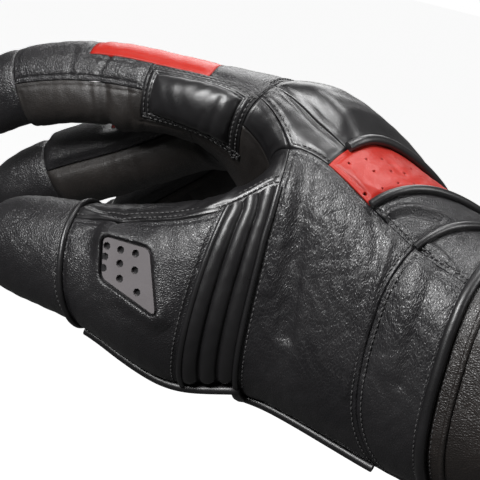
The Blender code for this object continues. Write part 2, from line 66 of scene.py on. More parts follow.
# The view: the glove is seen from the thumb side, a little from above and behind.
CAMERA_PLACE = Vector((0.087767, -0.508086, 0.108841))
CAMERA_RIGHT = Vector((0.86927, 0.43467, 0.23544))
CAMERA_UP = Vector((-0.28850, 0.05934, 0.95564))
CAMERA_BACK = CAMERA_RIGHT.cross(CAMERA_UP).normalized()
PIXELS_TO_SLOPE = 1650
PICTURE_MIDDLE = 240

camera_data = bpy.data.cameras.new("camera")
camera_data.lens = 123.75
camera_data.sensor_width = 36
camera = bpy.data.objects.new("camera", camera_data)
turn = Matrix((CAMERA_RIGHT, CAMERA_UP, CAMERA_BACK)).transposed().to_4x4()
camera.matrix_world = Matrix.Translation(CAMERA_PLACE) @ turn
bpy.context.scene.collection.objects.link(camera)
bpy.context.scene.camera = camera


# The skin: soft cowhide, cut in panels and sewn together from the inside. The outer
# faces of the solid panels are put together here, and the whole is smoothed once.
WALL = 0.0016
# No edge of the frame's skin is as short as this but those of the red panel's holes, and
# only the edge of the insert's opening is this near to the plate
HOLE_EDGE = 0.00095
PLATE_REACH = 0.0016
# The seams of the frame are closed over this gap
SEAM_REACH = 0.00065
TRIM_NODES = ("cuff_piping", "cuff_piping_thin", "guard_roll", "strap_binding", "strap_binding_low",
              "palm_edge_piping", "stretch_welt_front", "stretch_welt_rear", "thumb_welt",
              "thumb_insert")
PANEL_NODES = sorted(name for name in frame["nodes"] if name not in TRIM_NODES)
# Lines through the middle of the hand, the four fingers and the thumb, joint by joint
HAND_BONES = (
    ((0, 0, 0), (-.045, 0, -.005), (-.075, 0, -.001), (-.100, 0, .012), (-.127, 0, .047)),
    ((-.127, -.030, .052), (-.145, -.035, .055), (-.183, -.036, .0534), (-.215, -.037, .0443),
     (-.234, -.038, .026)),
    ((-.127, -.010, .050), (-.145, -.0125, .0513), (-.179, -.0137, .029), (-.2088, -.0147, .014),
     (-.2296, -.0155, -.0033)),
    ((-.125, .015, .045), (-.139, .0157, .0418), (-.170, .0162, .018), (-.193, .0166, -.0028),
     (-.209, .0169, -.022)),
    ((-.120, .034, .035), (-.131, .036, .031), (-.1546, .0377, .0112), (-.168, .0385, -.002),
     (-.180, .040, -.015)),
    ((-.105, -.032, -.002), (-.138, -.0445, -.003), (-.212, -.0445, -.008)),
)


def from_bone(place):
    """The way from the nearest place inside a finger or the hand to a point."""
    best = None
    for line in HAND_BONES:
        for start, end in zip(line, line[1:]):
            start, end = Vector(start), Vector(end)
            share = (place - start).dot(end - start) / (end - start).length_squared
            way = place - start.lerp(end, max(0, min(1, share)))
            if best is None or way.length < best.length:
                best = way
    return best


def islands(mesh):
    """The separate groups of joined faces."""
    left = set(mesh.faces)
    groups = []
    while left:
        group = [left.pop()]
        for face in group:
            for edge in face.edges:
                for other in edge.link_faces:
                    if other in left:
                        left.discard(other)
                        group.append(other)
        groups.append(group)
    return groups


def outside_of(name):
    """The outer faces of one solid panel, as quads where they can be."""
    mesh = bmesh.new()
    mesh.from_mesh(frame["nodes"][name].data)
    bmesh.ops.remove_doubles(mesh, verts=mesh.verts, dist=0.00002)
    pierced = []
    if name == "red_back_panel":
        pierced = list({vert for edge in mesh.edges if edge.calc_length() < HOLE_EDGE for vert in edge.verts})
    if name == "thumb_middle":
        plate = frame["nodes"]["thumb_insert"].data
        near = BVHTree.FromPolygons([vert.co for vert in plate.vertices],
                                    [list(face.vertices) for face in plate.polygons])
        pierced = [vert for vert in mesh.verts if near.find_nearest(vert.co)[3] < PLATE_REACH]
    bmesh.ops.delete(mesh, geom=pierced, context="VERTS")
    walls = [edge for edge in mesh.edges if abs(edge.calc_length() - WALL) < 0.00001]
    bmesh.ops.delete(mesh, geom=list({face for edge in walls for face in edge.link_faces}), context="FACES")
    inner = []
    for group in islands(mesh):
        facing = sum(face.calc_area() * face.normal.dot(from_bone(face.calc_center_median()).normalized())
                     for face in group)
        if facing < 0 or name == "stretch_panel":
            inner += group
    bmesh.ops.delete(mesh, geom=inner, context="FACES")
    bmesh.ops.join_triangles(mesh, faces=mesh.faces, angle_face_threshold=1.2, angle_shape_threshold=3.14,
                             topology_influence=1.5)
    for face in mesh.faces:
        face.material_index = PANEL_NODES.index(name)
    return mesh


skin = bmesh.new()
for name in PANEL_NODES:
    outside = outside_of(name)
    data = bpy.data.meshes.new(name)
    outside.to_mesh(data)
    outside.free()
    skin.from_mesh(data)
bmesh.ops.remove_doubles(skin, verts=[vert for vert in skin.verts if vert.is_boundary], dist=SEAM_REACH)

# The pierced places of the red panel are closed, and then the two openings of the thumb
open_edges = [edge for edge in skin.edges if edge.is_boundary]
for face in bmesh.ops.holes_fill(skin, edges=open_edges, sides=4)["faces"]:
    face.material_index = PANEL_NODES.index("red_back_panel")


def rim_groups(mesh):
    """The separate groups of joined rim edges."""
    left = {edge for edge in mesh.edges if edge.is_boundary}
    groups = []
    while left:
        group = [left.pop()]
        for edge in group:
            for vert in edge.verts:
                for other in vert.link_edges:
                    if other in left:
                        left.discard(other)
                        group.append(other)
        groups.append(group)
    return groups


# The cuff opening lies beyond CUFF_X; the thumb's outside lies past THUMB_FROM
CUFF_X = -0.02
THUMB_FROM = Vector((-0.125, -0.05))
for group in rim_groups(skin):
    places = {vert for edge in group for vert in edge.verts}
    middle = sum((vert.co for vert in places), Vector()) / len(places)
    if middle.x > CUFF_X:
        continue
    if middle.x > THUMB_FROM.x:
        # The opening of the stretch panel: filled between its two long seams
        long_sides = [edge for edge in group
                      if PANEL_NODES[edge.link_faces[0].material_index] in ("side_panel", "thumb_middle")]
        made = bmesh.ops.grid_fill(skin, edges=long_sides)["faces"]
        for face in made:
            face.material_index = PANEL_NODES.index("stretch_panel")
    else:
        made = bmesh.ops.holes_fill(skin, edges=group, sides=0)["faces"]
        made = bmesh.ops.triangulate(skin, faces=made, quad_method="BEAUTY", ngon_method="BEAUTY")["faces"]
        within = {edge for face in made for edge in face.edges
                  if all(other in made for other in edge.link_faces)}
        bmesh.ops.subdivide_edges(skin, edges=list(within), cuts=1, use_grid_fill=True)
        for face in skin.faces:
            middle = face.calc_center_median()
            if face.material_index == 0 and middle.x < THUMB_FROM.x and middle.y < THUMB_FROM.y:
                face.material_index = PANEL_NODES.index("thumb_middle")
skin_data = bpy.data.meshes.new("skin")
skin.to_mesh(skin_data)
skin.free()
skin_object = bpy.data.objects.new("skin", skin_data)
bpy.context.scene.collection.objects.link(skin_object)
skin_object.modifiers.new("smoothing", "SUBSURF").levels = 3
smooth_data = bpy.data.meshes.new_from_object(
    skin_object.evaluated_get(bpy.context.evaluated_depsgraph_get()))
bpy.data.objects.remove(skin_object, do_unlink=True)
smooth = bmesh.new()
smooth.from_mesh(smooth_data)
# The leather over the opening of the insert is evened out
INSERT_SPOT = Vector((-.1455, -.0615, .001))
EVENED_REACH = 0.0165
for turn_count in range(40):
    bmesh.ops.smooth_vert(smooth, verts=[vert for vert in smooth.verts
                                         if (vert.co - INSERT_SPOT).length < EVENED_REACH],
                          factor=0.5, use_axis_x=True, use_axis_y=True, use_axis_z=True)
smooth.normal_update()
outward = smooth.verts.layers.float_vector.new("outward")
for vert in smooth.verts:
    vert[outward] = vert.normal
smooth.to_mesh(smooth_data)
skin_tree = BVHTree.FromBMesh(smooth)


def seen(across, down):
    """The place on the skin that the photograph shows at a place in its frame."""
    sideways = CAMERA_RIGHT * (across - PICTURE_MIDDLE) - CAMERA_UP * (down - PICTURE_MIDDLE)
    aim = sideways / PIXELS_TO_SLOPE - CAMERA_BACK
    return skin_tree.ray_cast(CAMERA_PLACE, aim.normalized())[0]


def resampled(points, pitch, closed=False):
    """Points at an even pitch along a line."""
    if closed:
        points = points + points[:1]
    lengths = [0.0]
    for start, end in zip(points, points[1:]):
        lengths.append(lengths[-1] + (end - start).length)
    count = max(2, round(lengths[-1] / pitch) + 1)
    out = []
    spot = 0
    for step in range(count - (1 if closed else 0)):
        along = lengths[-1] * step / (count - 1)
        while spot < len(points) - 2 and lengths[spot + 1] < along:
            spot += 1
        share = (along - lengths[spot]) / max(1e-9, lengths[spot + 1] - lengths[spot])
        out.append(points[spot].lerp(points[spot + 1], min(1, share)))
    return out


def rounded(points, turns=3):
    """A line with its corners cut, twice or more."""
    for turn_count in range(turns):
        cut = [points[0]]
        for start, end in zip(points, points[1:]):
            cut += [start.lerp(end, 0.25), start.lerp(end, 0.75)]
        points = cut + [points[-1]]
    return points


def drawn(pixels, pitch=0.0008):
    """A line on the skin along places of the photograph."""
    flat = rounded([Vector((across, down, 0)) for across, down in pixels])
    flat = resampled(flat, 2)
    hits = [seen(point.x, point.y) for point in flat]
    return resampled([hit for hit in hits if hit is not None], pitch)


def on_skin(place):
    """The nearest place on the skin, and the way out there."""
    spot, out, face, distance = skin_tree.find_nearest(place)
    return spot, out


seam_edges = {}
for edge in smooth.edges:
    owners = {face.material_index for face in edge.link_faces}
    if len(owners) == 2:
        seam_edges.setdefault(frozenset(owners), []).append(edge)


def seam(first, second):
    """The line between two groups of panels: for each place its way out, and its way into the first."""
    firsts = {PANEL_NODES.index(name) for name in first}
    seconds = {PANEL_NODES.index(name) for name in second}
    joined = {}
    for one in firsts:
        for two in seconds:
            for edge in seam_edges.get(frozenset((one, two)), ()):
                face = next(face for face in edge.link_faces if face.material_index == one)
                for vert in edge.verts:
                    joined.setdefault(vert, []).append((edge.other_vert(vert), face))
    ends = [vert for vert, ways in joined.items() if len(ways) == 1]
    order = [ends[0] if ends else next(iter(joined))]
    used = set(order)
    while True:
        onward = [vert for vert, face in joined[order[-1]] if vert not in used]
        if not onward:
            break
        used.add(onward[0])
        order.append(onward[0])
    line = []
    for place, vert in enumerate(order):
        after = order[(place + 1) % len(order)] if not ends else order[min(place + 1, len(order) - 1)]
        before = order[place - 1] if not ends else order[max(place - 1, 0)]
        along = (after.co - before.co).normalized()
        way_in = vert.normal.cross(along).normalized()
        if way_in.dot(joined[vert][0][1].calc_center_median() - vert.co) < 0:
            way_in = -way_in
        line.append((vert.co.copy(), vert.normal.copy(), way_in))
    return line, not ends


# Each panel gets a finish of its own and is cut from the skin along its seams
skin_object = bpy.data.objects.new("skin", smooth_data)
bpy.context.scene.collection.objects.link(skin_object)
marks = {}
for name in PANEL_NODES:
    mark = bpy.data.materials.new("mark")
    marks[mark.name] = name
    smooth_data.materials.append(mark)
bpy.context.view_layer.objects.active = skin_object
skin_object.select_set(True)
bpy.ops.object.mode_set(mode="EDIT")
bpy.ops.mesh.separate(type="MATERIAL")
bpy.ops.object.mode_set(mode="OBJECT")
panels = {}
for piece in list(bpy.context.scene.objects):
    if piece.type == "MESH" and piece.name.startswith("skin"):
        name = marks[piece.data.materials[0].name]
        piece.name = name + "_leather"
        panels[name] = piece


def nodes_of(material):
    """The node tree, its shader and short ways to add and join nodes."""
    material.use_nodes = True
    tree = material.node_tree
    shader = tree.nodes["Principled BSDF"]

    def add(kind, **values):
        node = tree.nodes.new(kind)
        for key, value in values.items():
            if key in node.inputs:
                node.inputs[key].default_value = value
            else:
                setattr(node, key, value)
        return node

    def join(source, target):
        tree.links.new(source, target)
    return shader, add, join


def leather(name, colour, worn, rough=0.42, grain=0.0007, depth=0.00006, crease=0.0001, fold=0.0003,
            lie=(1, 1, 1), coat=0.0):
    """Leather with a pebbled grain, fine creases, soft folds, and lighter wear on what stands out.

    grain is the size of a pebble and depth its height; crease and fold are the heights of the
    fine and the broad wrinkles, and lie stretches them along the way that the leather is pulled.
    """
    made = bpy.data.materials.new(name)
    shader, add, join = nodes_of(made)
    shader.inputs["Coat Weight"].default_value = coat
    shader.inputs["Coat Roughness"].default_value = 0.3
    place = add("ShaderNodeTexCoord").outputs["Object"]
    pulled = add("ShaderNodeMapping", Scale=lie)
    join(place, pulled.inputs["Vector"])
    warp = add("ShaderNodeTexNoise", Scale=0.35 / grain, Detail=3)
    join(place, warp.inputs["Vector"])
    shift = add("ShaderNodeVectorMath", operation="MULTIPLY_ADD")
    join(warp.outputs["Color"], shift.inputs[0])
    shift.inputs[1].default_value = (grain * 1.1,) * 3
    join(pulled.outputs["Vector"], shift.inputs[2])
    pebbles = add("ShaderNodeTexVoronoi", feature="DISTANCE_TO_EDGE", Scale=1 / grain)
    join(shift.outputs[0], pebbles.inputs["Vector"])
    dome = add("ShaderNodeMapRange", interpolation_type="SMOOTHSTEP")
    dome.inputs["From Max"].default_value = 0.30
    join(pebbles.outputs["Distance"], dome.inputs["Value"])
    creases = add("ShaderNodeTexNoise", Scale=420, Detail=5, Roughness=0.6)
    join(pulled.outputs["Vector"], creases.inputs["Vector"])
    folds = add("ShaderNodeTexNoise", Scale=130, Detail=3, Roughness=0.5)
    join(pulled.outputs["Vector"], folds.inputs["Vector"])
    blotches = add("ShaderNodeTexNoise", Scale=46, Detail=5, Roughness=0.6)
    join(place, blotches.inputs["Vector"])
    pebble_height = add("ShaderNodeMath", operation="MULTIPLY")
    join(dome.outputs["Result"], pebble_height.inputs[0])
    pebble_height.inputs[1].default_value = depth
    crease_height = add("ShaderNodeMath", operation="MULTIPLY_ADD")
    join(creases.outputs["Fac"], crease_height.inputs[0])
    crease_height.inputs[1].default_value = crease
    join(pebble_height.outputs[0], crease_height.inputs[2])
    height = add("ShaderNodeMath", operation="MULTIPLY_ADD")
    join(folds.outputs["Fac"], height.inputs[0])
    height.inputs[1].default_value = fold
    join(crease_height.outputs[0], height.inputs[2])
    bump = add("ShaderNodeBump", Distance=1.0, Strength=1.0)
    join(height.outputs[0], bump.inputs["Height"])
    join(bump.outputs["Normal"], shader.inputs["Normal"])
    wear = add("ShaderNodeMapRange")
    wear.inputs["From Min"].default_value = 0.42
    wear.inputs["From Max"].default_value = 0.78
    join(blotches.outputs["Fac"], wear.inputs["Value"])
    raised = add("ShaderNodeMath", operation="MULTIPLY")
    join(wear.outputs["Result"], raised.inputs[0])
    join(dome.outputs["Result"], raised.inputs[1])
    tint = add("ShaderNodeMix", data_type="RGBA")
    tint.inputs["A"].default_value = (*colour, 1)
    tint.inputs["B"].default_value = (*worn, 1)
    join(raised.outputs[0], tint.inputs["Factor"])
    join(tint.outputs["Result"], shader.inputs["Base Color"])
    gloss = add("ShaderNodeMapRange")
    gloss.inputs["To Min"].default_value = rough + 0.08
    gloss.inputs["To Max"].default_value = rough - 0.06
    join(dome.outputs["Result"], gloss.inputs["Value"])
    uneven = add("ShaderNodeMath", operation="MULTIPLY_ADD")
    join(blotches.outputs["Fac"], uneven.inputs[0])
    uneven.inputs[1].default_value = 0.24
    join(gloss.outputs["Result"], uneven.inputs[2])
    settle = add("ShaderNodeMath", operation="SUBTRACT")
    join(uneven.outputs[0], settle.inputs[0])
    settle.inputs[1].default_value = 0.12
    join(settle.outputs[0], shader.inputs["Roughness"])
    return made


# The thumb side is pulled up and down, so its creases are long that way
SIDE_PULL = (1.25, 1.0, 0.42)
BLACK = (.0062, .0058, .0066)
WORN_BLACK = (.018, .017, .018)
grained = leather("grained_black", BLACK, WORN_BLACK, rough=0.38, depth=0.00007, crease=0.00006,
                  fold=0.0002)
side_leather = leather("side_leather", BLACK, WORN_BLACK, rough=0.38, depth=0.00006, crease=0.00014,
                       fold=0.0005, lie=SIDE_PULL)
smooth_black = leather("smooth_black", (.0056, .0053, .0058), (.014, .013, .014), rough=0.36,
                       grain=0.0004, depth=0.000012, crease=0.00002, fold=0.0002, coat=0.05)
palm_black = leather("palm_black", (.0075, .0060, .0053), (.022, .017, .014), rough=0.52,
                     depth=0.00004, crease=0.00008, fold=0.0004)
cuff_black = leather("cuff_black", (.0080, .0062, .0055), (.024, .018, .015), rough=0.44,
                     grain=0.0008, depth=0.00008, crease=0.00008, fold=0.0002)
red_leather = leather("red_leather", (.24, .0085, .0040), (.30, .018, .010), rough=0.42,
                      grain=0.0005, depth=0.000015, crease=0.00005, fold=0.0004)
red_leather.node_tree.nodes["Principled BSDF"].inputs["Specular IOR Level"].default_value = 0.35


SMOOTH_PANELS = ("web_patch", "knuckle_guard", "knuckle_patch", "guard_strip", "closure_tab",
                 "stretch_panel", "index_side_panel")


def finish_of(name):
    """The leather that a panel is cut from."""
    if name == "red_back_panel" or name.endswith("_accent"):
        return red_leather
    if name in SMOOTH_PANELS:
        return smooth_black
    if name in ("palm_panel", "thumb_inner") or name.endswith("_front"):
        return palm_black
    if name == "cuff":
        return cuff_black
    if name in ("side_panel", "wrist_panel"):
        return side_leather
    return grained


def distances(places, line):
    """How far each of many places is from a line of points."""
    starts = np.array([point[:] for point in line[:-1]])
    ways = np.array([point[:] for point in line[1:]]) - starts
    squares = np.maximum((ways ** 2).sum(1), 1e-14)
    best = np.full(len(places), 1e9)
    for start, way, square in zip(starts, ways, squares):
        share = np.clip(((places - start) @ way) / square, 0, 1)
        gaps = np.linalg.norm(places - start - share[:, None] * way, axis=1)
        best = np.minimum(best, gaps)
    return best


# Faces farther off than this are never part of a hole
WIDEST_HOLE = 0.020


def pierce(mesh, middle, rim_of):
    """Cuts a hole: takes out the faces inside a rim and draws the edge left behind onto it.

    rim_of gives how far outside the rim a place is (less than nothing inside), and the
    nearest place on the rim.
    """
    inside = [face for face in mesh.faces
              if (face.calc_center_median() - middle).length < WIDEST_HOLE
              and rim_of(face.calc_center_median())[0] < 0]
    edge_verts = {vert for face in inside for vert in face.verts}
    bmesh.ops.delete(mesh, geom=inside, context="FACES")
    for vert in edge_verts:
        if vert.is_valid:
            vert.co = rim_of(vert.co)[1]


# How far in from its seam a panel reaches its height, and the half widths of the stitched
# channel and of the groove round a pad
CROWN_REACH = 0.0018
CHANNEL_WIDTH = 0.0005
PAD_REACH = 0.0022
PAD_GROOVE = 0.0007
PAD_GROOVE_WIDTH = 0.0006
# A finger's crease goes round it for this far, and fades towards the seams
BEND_REACH = 0.022
BEND_FADE = 0.002
RIM_INSET = 0.00012


def ripple_at(place):
    """A soft unevenness of the leather, from -1 to 1."""
    x, y, z = place * 1000
    return sin(x * 0.83 + 2.1 * sin(z * 0.31 + y * 0.2)) * sin(z * 0.57 + 1.7 * sin(x * 0.29))


def shape_panel(name, crown=0.0004, roll=WALL, rises=(), bends=(), channel=0.0016, channel_depth=0.00025,
                ripple=0.0001, cuts=0, pad=None, lift_of=None, bed_of=None, holes=()):
    """Raises a panel inside its seams, presses its stitched channel and folds its rim in.

    rises is a list of (line, half width, height) for folds and ridges along lines on the skin,
    bends of (place, way, half width, height) for creases across a finger, and pad the distance
    of a sewn pad from the rim and its height. lift_of gives more height at each place, bed_of
    moves places at the end, and holes are cut last.
    """
    piece = panels[name]
    data = piece.data
    data.materials.clear()
    data.materials.append(finish_of(name))
    mesh = bmesh.new()
    mesh.from_mesh(data)
    if cuts:
        bmesh.ops.subdivide_edges(mesh, edges=mesh.edges, cuts=cuts, use_grid_fill=True, smooth=0.6)
    outward = mesh.verts.layers.float_vector["outward"]
    rim = [vert for vert in mesh.verts if vert.is_boundary]
    near_rim = KDTree(len(rim))
    for number, vert in enumerate(rim):
        near_rim.insert(vert.co, number)
    near_rim.balance()
    places = np.array([vert.co[:] for vert in mesh.verts])
    gaps = np.array([near_rim.find(vert.co)[2] for vert in mesh.verts])
    lifts = (crown * (1 - np.exp(-(gaps / CROWN_REACH) ** 2))
             - channel_depth * np.exp(-((gaps - channel) / CHANNEL_WIDTH) ** 2))
    if pad:
        inset, height = pad
        within = np.maximum(0, gaps - inset)
        lifts += (height * (1 - np.exp(-(within / PAD_REACH) ** 1.3))
                  - PAD_GROOVE * np.exp(-((gaps - inset) / PAD_GROOVE_WIDTH) ** 2))
    for line, half_width, height in rises:
        lifts += height * np.exp(-(distances(places, line) / half_width) ** 2)
    for middle, way, half_width, height in bends:
        along = (places - np.array(middle[:])) @ np.array(way[:])
        close = np.linalg.norm(places - np.array(middle[:]), axis=1) < BEND_REACH
        lifts += (height * np.exp(-(along / half_width) ** 2) * close
                  * (1 - np.exp(-(gaps / BEND_FADE) ** 2)))
    if lift_of:
        lifts += lift_of(places, gaps)
    for number, vert in enumerate(mesh.verts):
        vert.co += Vector(vert[outward]).normalized() * (float(lifts[number]) + ripple * ripple_at(vert.co))
    for vert in rim:
        inward = sum((edge.other_vert(vert).co - vert.co
                      for edge in vert.link_edges if not edge.is_boundary), Vector())
        vert.co += inward.normalized() * RIM_INSET
    if bed_of:
        for vert in mesh.verts:
            vert.co += bed_of(vert.co)
    for middle, rim_of in holes:
        pierce(mesh, middle, rim_of)
    edges = [edge for edge in mesh.edges if edge.is_boundary]
    turned = bmesh.ops.extrude_edge_only(mesh, edges=edges)
    for item in turned["geom"]:
        if isinstance(item, bmesh.types.BMVert):
            item.co -= Vector(item[outward]).normalized() * roll
    mesh.normal_update()
    mesh.to_mesh(data)
    mesh.free()
    data.shade_smooth()
    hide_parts(name)
    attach(piece, "root")
    return piece


# The broad panels of the hand: their folds and creases follow the photograph
shaped = set()


def shape(name, **ways):
    """Shapes a panel in a way of its own."""
    shape_panel(name, **ways)
    shaped.add(name)


def folds(table):
    """The folds of a panel, drawn on the skin."""
    return [(drawn(line), half_width, height) for line, half_width, height in table]


# Each row is a fold or ridge: its line in places of the photograph, half width and height
SIDE_FOLDS = [
    ([(309, 166), (304, 195), (297, 240), (290, 290), (286, 335)], 0.0030, -0.0011),
    ([(292, 170), (288, 200), (281, 240), (270, 290)], 0.0022, 0.0005),
    ([(322, 200), (318, 245), (311, 300), (306, 340)], 0.0009, -0.00022),
    ([(333, 215), (331, 260), (325, 310)], 0.0008, -0.00020),
    ([(345, 230), (345, 270), (338, 325), (330, 350)], 0.0009, -0.00022),
    ([(357, 235), (356, 275), (347, 330)], 0.0008, -0.00018),
    ([(300, 270), (296, 310), (290, 355)], 0.0009, -0.0002),
    ([(283, 300), (277, 335), (268, 372)], 0.0009, -0.0002),
    ([(371, 215), (378, 240), (372, 275), (364, 300)], 0.0014, -0.0004),
    ([(392, 240), (376, 289), (369, 322), (357, 354), (345, 395)], 0.0011, 0.0006),
    ([(330, 156), (345, 175), (365, 198), (385, 222)], 0.0016, -0.0006),
]
shape("side_panel", cuts=1, rises=folds(SIDE_FOLDS))
WRIST_FOLDS = [
    ([(425, 250), (412, 290), (400, 330), (390, 370)], 0.0030, 0.0007),
    ([(440, 262), (425, 300), (412, 345), (402, 385)], 0.0014, -0.0004),
    ([(400, 262), (390, 300), (378, 335), (366, 372)], 0.0012, -0.0005),
]
shape("wrist_panel", cuts=1, rises=folds(WRIST_FOLDS))
STRAP_BANDS = [
    ([(381, 218), (395, 209), (413, 207), (433, 212), (446, 217), (465, 231),
      (479, 245)], 0.0011, 0.0011),
    ([(388, 224), (402, 216), (420, 216), (440, 222)], 0.0008, -0.0006),
]
shape("strap_panel", cuts=1, rises=folds(STRAP_BANDS))
STRAP_FOLDS = [
    ([(389, 231), (405, 233), (420, 239), (440, 252), (455, 270)], 0.0010, 0.0007),
    ([(390, 238), (405, 250), (420, 262), (440, 275)], 0.0009, 0.0006),
    ([(392, 234), (410, 243), (428, 254)], 0.0009, -0.0007),
]
shape("wrist_strap", cuts=1, rises=folds(STRAP_FOLDS))
WEB_EDGE_ROLL = [
    ([(84, 210), (100, 219), (130, 226), (150, 222), (183, 221), (221, 204), (247, 182),
      (268, 160)], 0.0018, 0.0008),
    ([(90, 207), (110, 215), (140, 217), (175, 213), (205, 200), (232, 180)], 0.0012, -0.0004),
]
shape("web_patch", cuts=1, rises=folds(WEB_EDGE_ROLL))
INDEX_BACK_CREASES = [
    ([(118, 45), (110, 56), (99, 72)], 0.0008, -0.0007),
    ([(76, 47), (73, 58), (70, 74)], 0.0010, -0.0003),
]
shape("index_back", cuts=1, rises=folds(INDEX_BACK_CREASES))
INDEX_FRONT_CREASES = [
    ([(30, 118), (60, 108), (90, 108), (120, 118), (150, 140), (185, 160)], 0.0075, 0.0024),
    ([(103, 80), (106, 100), (114, 126)], 0.0018, -0.0011),
    ([(126, 84), (130, 110), (137, 135)], 0.0012, -0.0005),
    ([(139, 88), (143, 112), (147, 138)], 0.0010, -0.0005),
    ([(89, 80), (93, 96), (99, 112)], 0.0010, -0.0004),
]
shape("index_front", cuts=1, rises=folds(INDEX_FRONT_CREASES))

# The knuckle patch is a sewn pad with its filling inside the double row of stitches
PATCH_CREASES = [
    ([(222, 100), (212, 122), (205, 146)], 0.0010, -0.0003),
    ([(238, 104), (230, 124), (224, 146)], 0.0009, -0.0003),
    ([(205, 112), (198, 126), (193, 140)], 0.0009, -0.0002),
]
shape("knuckle_patch", cuts=2, pad=(0.0036, 0.0013), crown=0.0006, channel=0.0013,
      channel_depth=0.0003, rises=folds(PATCH_CREASES))

# The stretch panel: three soft ribs stitched side by side, so that the thumb can bend
rear_line = [place for place, out, way_in in seam(("stretch_panel",), ("side_panel",))[0]]
front_line = [place for place, out, way_in in seam(("stretch_panel",), ("thumb_middle",))[0]]
low_line = [place for place, out, way_in in seam(("stretch_panel",), ("thumb_inner", "palm_panel"))[0]]
RIB_COUNT = 3
RIB_HEIGHT = 0.0023
# The rounded lower end of a rib, how far it stays off the seam, the width from which a rib
# has its full height, and how deep the grooves between them go
RIB_END = 0.0038
RIB_MARGIN = 0.0022
FULL_RIB_WIDTH = 0.005
RIB_SINK = 0.0006


def ribs(places, gaps):
    """Ribs across the panel, with rounded lower ends."""
    to_rear = distances(places, rear_line)
    to_front = distances(places, front_line)
    share = to_rear / np.maximum(1e-9, to_rear + to_front) * RIB_COUNT
    width = (to_rear + to_front) / RIB_COUNT
    across = np.abs(2 * (share % 1) - 1)
    to_end = distances(places, low_line) - RIB_MARGIN
    into_end = np.clip(1 - to_end / RIB_END, 0, 1)
    out_of_middle = np.sqrt(across ** 2 + np.where(to_end < RIB_END, into_end ** 2, 0))
    profile = np.sqrt(np.clip(1 - out_of_middle ** 2, 0, 1))
    return RIB_HEIGHT * profile * np.clip(width / FULL_RIB_WIDTH, 0.4, 1) - RIB_SINK


shape("stretch_panel", cuts=4, crown=0, channel_depth=0, ripple=0.00004, lift_of=ribs)

# The fingers bend at two joints, where the leather of the front folds
FULLNESS = {"middle": 0.0018, "ring": 0.0016, "little": 0.0006}
CREASE_PITCH = 0.0042
CREASE_WIDTH = 0.0013
CREASE_DEPTHS = {"front": 0.0006, "back": 0.0006 * 0.4}
for (finger, fullness), line in zip(FULLNESS.items(), HAND_BONES[2:5]):
    for part, crease_depth in CREASE_DEPTHS.items():
        bends = []
        for before, joint, after in zip(line, line[1:], line[2:]):
            way = (Vector(after) - Vector(before)).normalized()
            for step in (-CREASE_PITCH, 0, CREASE_PITCH):
                bends.append((Vector(joint) + way * step, way, CREASE_WIDTH, -crease_depth))
        shape(finger + "_" + part, crown=fullness, bends=bends)

# The red panel is pierced with small holes in staggered rows
HOLE_RADIUS = 0.0006
# The holes that the photograph shows, and where the rows start above the panel
HOLES_SEEN = ((343, 151), (339, 159), (349, 164), (366, 160), (382, 160), (357, 178), (374, 172),
              (391, 172), (405, 174), (420, 178), (365, 194), (382, 189), (398, 184), (421, 193),
              (435, 199), (448, 205), (459, 214), (470, 222))
HOLE_START = Vector((-0.105, -0.060, 0.09))
HOLE_ROWS = 14
HOLES_IN_ROW = 26
HOLE_PITCH = 0.0050
HOLE_SPACING = 0.0042
HOLE_MARGIN = 0.0026
HOLE_MARGIN_SEEN = 0.0011
ON_PANEL = 0.0005
red_rim = KDTree(len(panels["red_back_panel"].data.vertices))
red_mesh = bmesh.new()
red_mesh.from_mesh(panels["red_back_panel"].data)
red_edge = [vert.co.copy() for vert in red_mesh.verts if vert.is_boundary]
red_tree = BVHTree.FromBMesh(red_mesh)
for number, spot in enumerate(red_edge):
    red_rim.insert(spot, number)
red_rim.balance()
hole_spots = []
for across, down in HOLES_SEEN:
    spot = seen(across, down)
    if spot is not None:
        near, out, face, gap = red_tree.find_nearest(spot)
        if gap < ON_PANEL and red_rim.find(near)[2] > HOLE_MARGIN_SEEN:
            hole_spots.append(near)
for row in range(HOLE_ROWS):
    for step in range(HOLES_IN_ROW):
        shift = (step + 0.5 * (row % 2)) * HOLE_PITCH
        start = HOLE_START + Vector((row * HOLE_PITCH, shift, 0))
        spot, out, face, far = red_tree.ray_cast(start, Vector((0, 0, -1)))
        if spot is None or red_rim.find(spot)[2] < HOLE_MARGIN:
            continue
        if all((spot - other).length > HOLE_SPACING for other in hole_spots):
            hole_spots.append(spot)
red_mesh.free()


def round_rim(middle, radius):
    """The rim of a round hole."""
    def rim_of(place):
        way = place - middle
        return way.length - radius, middle + way.normalized() * radius
    return rim_of


RED_FOLDS = [
    ([(392, 165), (405, 178), (420, 186)], 0.0016, -0.0004),
    ([(352, 170), (362, 184), (380, 192)], 0.0012, 0.0003),
]
shape("red_back_panel", cuts=3, roll=0.0012, rises=folds(RED_FOLDS),
      holes=[(spot, round_rim(spot, HOLE_RADIUS)) for spot in hole_spots])

# The opening for the moulded insert, a little larger than the plate of the frame
INSERT_EDGE = 0.0011
# The leather round it is brought level with it, this much higher, and this far out
LEATHER_OVER_PLATE = 0.0006
BED_FADE = 0.0030
BED_REACH = 0.024
plate_mesh = frame["nodes"]["thumb_insert"].data
plate_middle = sum((vert.co for vert in plate_mesh.vertices), Vector()) / len(plate_mesh.vertices)
facing = on_skin(plate_middle)[1]
plate_out = sum((face.normal * face.area for face in plate_mesh.polygons
                 if face.normal.dot(facing) > 0.9), Vector()).normalized()
plate_across = plate_out.orthogonal().normalized()
plate_up = plate_out.cross(plate_across)
plate_top = max((vert.co - plate_middle).dot(plate_out) for vert in plate_mesh.vertices)
flat = [Vector(((vert.co - plate_middle).dot(plate_across), (vert.co - plate_middle).dot(plate_up)))
        for vert in plate_mesh.vertices]
hull = [flat[number] for number in convex_hull_2d(flat)]


